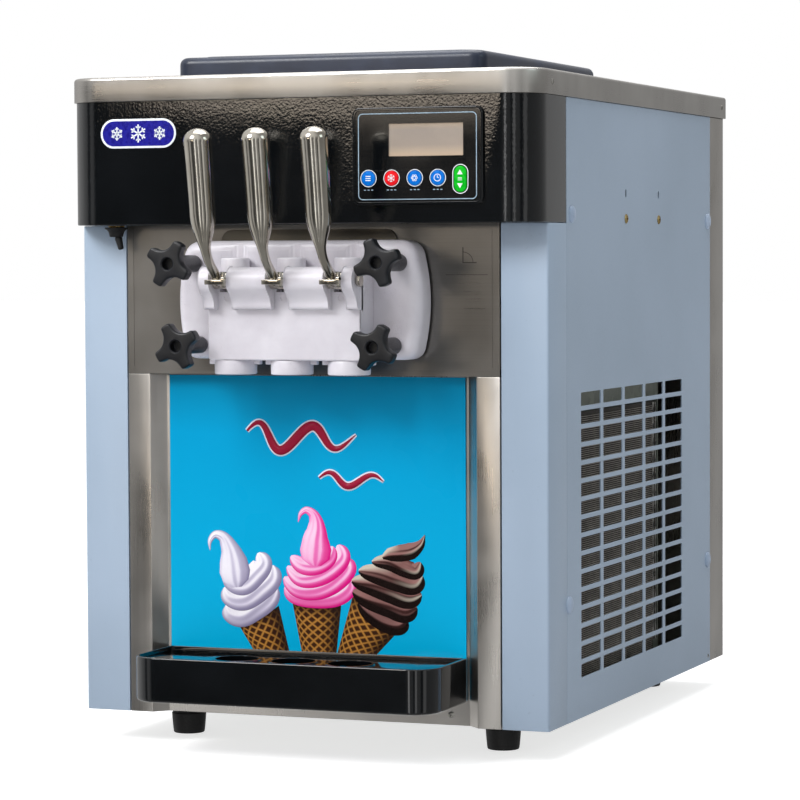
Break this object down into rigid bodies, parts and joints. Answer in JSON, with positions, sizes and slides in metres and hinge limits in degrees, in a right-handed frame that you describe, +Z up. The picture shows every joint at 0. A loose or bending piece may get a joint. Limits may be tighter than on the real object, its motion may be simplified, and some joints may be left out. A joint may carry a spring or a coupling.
{
  "type": "soft serve machine",
  "caption": "Counter-top soft serve freezer with draw handles, drip tray, hoppers under a lid, and a vented cabinet on feet.",
  "frame": {"origin": "on the counter, under the middle of the bounding box of the whole machine", "axes": "+X to the right of the machine seen from its front, +Y to its back, +Z up; the handles and the tray are at -Y"},
  "size_m": [0.535, 0.838, 0.745],
  "materials": {
    "paint": "satin powder coat",
    "stainless": "brushed",
    "galvanised": "satin",
    "gloss_black": "gloss",
    "band_black": "gloss, fine orange peel",
    "lid_plastic": "satin",
    "knob_plastic": "satin",
    "white_plastic": "satin",
    "decal": "gloss",
    "rubber": "matte",
    "copper": "satin",
    "motor_paint": "satin",
    "fins": "satin",
    "lcd": "gloss",
    "blue_button": "gloss",
    "red_button": "gloss",
    "green_button": "gloss"
  },
  "bodies": {
    "machine": {"base_pan": "galvanised", "column_right": "paint", "column_left": "paint", "side_panel_right": "paint", "side_panel_left": "paint", "rear_panel": "stainless", "fascia": "band_black", "top_rim": "stainless", "hopper_right": "stainless", "hopper_left": "stainless", "front_panel": "stainless", "splash_panel": "stainless", "decal": "decal", "foot_front_left": "rubber", "foot_front_right": "rubber", "foot_rear_left": "rubber", "foot_rear_right": "rubber", "power_inlet": "gloss_black", "discharge_head": "white_plastic", "cylinder_faceplate": "stainless", "pivot_pin": "stainless", "control_bezel": "gloss_black", "display": "lcd", "toggle_base": "rubber", "freezing_cylinder_left": "stainless", "freezing_cylinder_right": "stainless", "drive_belt": "rubber", "drive_motor": "motor_paint", "compressor": "motor_paint", "condenser": "fins", "air_guide": "galvanised", "fan_shroud": "galvanised", "copper_tube": "copper"},
    "lid_body": {"lid": "lid_plastic"},
    "tray_body": {"drip_tray": "gloss_black"},
    "insert_body": {"drip_insert": "gloss_black"},
    "rocker_body": {"rocker_up_down": "green_button"},
    "toggle_body": {"toggle_lever": "rubber"},
    "beater_left_body": {"beater_left": "stainless"},
    "beater_right_body": {"beater_right": "stainless"},
    "motor_pulley_body": {"motor_pulley": "galvanised"},
    "fan_body": {"fan": "galvanised"},
    "handle_left_body": {"handle_left": "stainless"},
    "piston_left_body": {"piston_left": "white_plastic"},
    "nozzle_left_body": {"nozzle_cap_left": "white_plastic"},
    "handle_middle_body": {"handle_middle": "stainless"},
    "piston_middle_body": {"piston_middle": "white_plastic"},
    "nozzle_middle_body": {"nozzle_cap_middle": "white_plastic"},
    "handle_right_body": {"handle_right": "stainless"},
    "piston_right_body": {"piston_right": "white_plastic"},
    "nozzle_right_body": {"nozzle_cap_right": "white_plastic"},
    "knob_upper_left_body": {"knob_upper_left": "knob_plastic"},
    "knob_upper_right_body": {"knob_upper_right": "knob_plastic"},
    "knob_lower_left_body": {"knob_lower_left": "knob_plastic"},
    "knob_lower_right_body": {"knob_lower_right": "knob_plastic"},
    "button_blue_left_body": {"button_blue_left": "blue_button"},
    "button_red_body": {"button_red": "red_button"},
    "button_blue_middle_body": {"button_blue_middle": "blue_button"},
    "button_blue_right_body": {"button_blue_right": "blue_button"}
  },
  "joints": [
    {"name": "lid_lift", "type": "slide", "parent": "machine", "child": "lid_body", "axis": [0, 0, 1], "range_m": [0, 0.15]},
    {"name": "tray_pull", "type": "slide", "parent": "machine", "child": "tray_body", "axis": [0, -1, 0], "range_m": [0, 0.12]},
    {"name": "insert_lift", "type": "slide", "parent": "tray_body", "child": "insert_body", "axis": [0, 0, 1], "range_m": [0, 0.05]},
    {"name": "handle_left_pull", "type": "hinge", "parent": "machine", "child": "handle_left_body", "pos_m": [-0.064, -0.34495, 0.5005], "axis": [1, 0, 0], "range_deg": [0, 50]},
    {"name": "piston_left_lift", "type": "slide", "parent": "machine", "child": "piston_left_body", "axis": [0, 0, 1], "range_m": [0, 0.02702]},
    {"name": "nozzle_left_turn", "type": "hinge", "parent": "machine", "child": "nozzle_left_body", "pos_m": [-0.064, -0.31195, 0.41], "axis": [0, 0, 1], "range_deg": [0, 40]},
    {"name": "handle_middle_pull", "type": "hinge", "parent": "machine", "child": "handle_middle_body", "pos_m": [0, -0.34495, 0.5005], "axis": [1, 0, 0], "range_deg": [0, 50]},
    {"name": "piston_middle_lift", "type": "slide", "parent": "machine", "child": "piston_middle_body", "axis": [0, 0, 1], "range_m": [0, 0.02702]},
    {"name": "nozzle_middle_turn", "type": "hinge", "parent": "machine", "child": "nozzle_middle_body", "pos_m": [0, -0.31195, 0.41], "axis": [0, 0, 1], "range_deg": [0, 40]},
    {"name": "handle_right_pull", "type": "hinge", "parent": "machine", "child": "handle_right_body", "pos_m": [0.064, -0.34495, 0.5005], "axis": [1, 0, 0], "range_deg": [0, 50]},
    {"name": "piston_right_lift", "type": "slide", "parent": "machine", "child": "piston_right_body", "axis": [0, 0, 1], "range_m": [0, 0.02702]},
    {"name": "nozzle_right_turn", "type": "hinge", "parent": "machine", "child": "nozzle_right_body", "pos_m": [0.064, -0.31195, 0.41], "axis": [0, 0, 1], "range_deg": [0, 40]},
    {"name": "knob_upper_left_turn", "type": "hinge", "parent": "machine", "child": "knob_upper_left_body", "pos_m": [-0.116, -0.36395, 0.518], "axis": [0, 1, 0], "continuous": true},
    {"name": "knob_upper_right_turn", "type": "hinge", "parent": "machine", "child": "knob_upper_right_body", "pos_m": [0.116, -0.36395, 0.5185], "axis": [0, 1, 0], "continuous": true},
    {"name": "knob_lower_left_turn", "type": "hinge", "parent": "machine", "child": "knob_lower_left_body", "pos_m": [-0.1095, -0.36395, 0.4325], "axis": [0, 1, 0], "continuous": true},
    {"name": "knob_lower_right_turn", "type": "hinge", "parent": "machine", "child": "knob_lower_right_body", "pos_m": [0.1095, -0.36395, 0.4325], "axis": [0, 1, 0], "continuous": true},
    {"name": "button_blue_left_press", "type": "slide", "parent": "machine", "child": "button_blue_left_body", "axis": [0, 1, 0], "range_m": [0, 0.0012], "stiffness_N_per_m": 400},
    {"name": "button_red_press", "type": "slide", "parent": "machine", "child": "button_red_body", "axis": [0, 1, 0], "range_m": [0, 0.0012], "stiffness_N_per_m": 400},
    {"name": "button_blue_middle_press", "type": "slide", "parent": "machine", "child": "button_blue_middle_body", "axis": [0, 1, 0], "range_m": [0, 0.0012], "stiffness_N_per_m": 400},
    {"name": "button_blue_right_press", "type": "slide", "parent": "machine", "child": "button_blue_right_body", "axis": [0, 1, 0], "range_m": [0, 0.0012], "stiffness_N_per_m": 400},
    {"name": "rocker_press", "type": "hinge", "parent": "machine", "child": "rocker_body", "pos_m": [0.1858, -0.30495, 0.6034], "axis": [1, 0, 0], "range_deg": [-1.2, 1.2], "stiffness_Nm_per_rad": 0.5},
    {"name": "toggle_flip", "type": "hinge", "parent": "machine", "child": "toggle_body", "pos_m": [-0.215, -0.28495, 0.555], "axis": [0, 1, 0], "range_deg": [0, 29.8]},
    {"name": "beater_left_spin", "type": "hinge", "parent": "machine", "child": "beater_left_body", "pos_m": [-0.058, -0.11395, 0.477], "axis": [0, 1, 0], "continuous": true},
    {"name": "beater_right_spin", "type": "hinge", "parent": "machine", "child": "beater_right_body", "pos_m": [0.058, -0.11395, 0.477], "axis": [0, 1, 0], "continuous": true},
    {"name": "motor_pulley_spin", "type": "hinge", "parent": "machine", "child": "motor_pulley_body", "pos_m": [0, 0.04605, 0.36], "axis": [0, 1, 0], "continuous": true},
    {"name": "fan_spin", "type": "hinge", "parent": "machine", "child": "fan_body", "pos_m": [0.176, 0.01605, 0.217], "axis": [1, 0, 0], "continuous": true}
  ],
  "couplings": [
    {"joint": "piston_left_lift", "follows": "handle_left_pull", "m_per_rad": 0.0305},
    {"joint": "piston_middle_lift", "follows": "handle_middle_pull", "m_per_rad": 0.0305},
    {"joint": "piston_right_lift", "follows": "handle_right_pull", "m_per_rad": 0.0305},
    {"joint": "beater_right_spin", "follows": "beater_left_spin", "ratio": 1},
    {"joint": "motor_pulley_spin", "follows": "beater_left_spin", "ratio": 1}
  ]
}
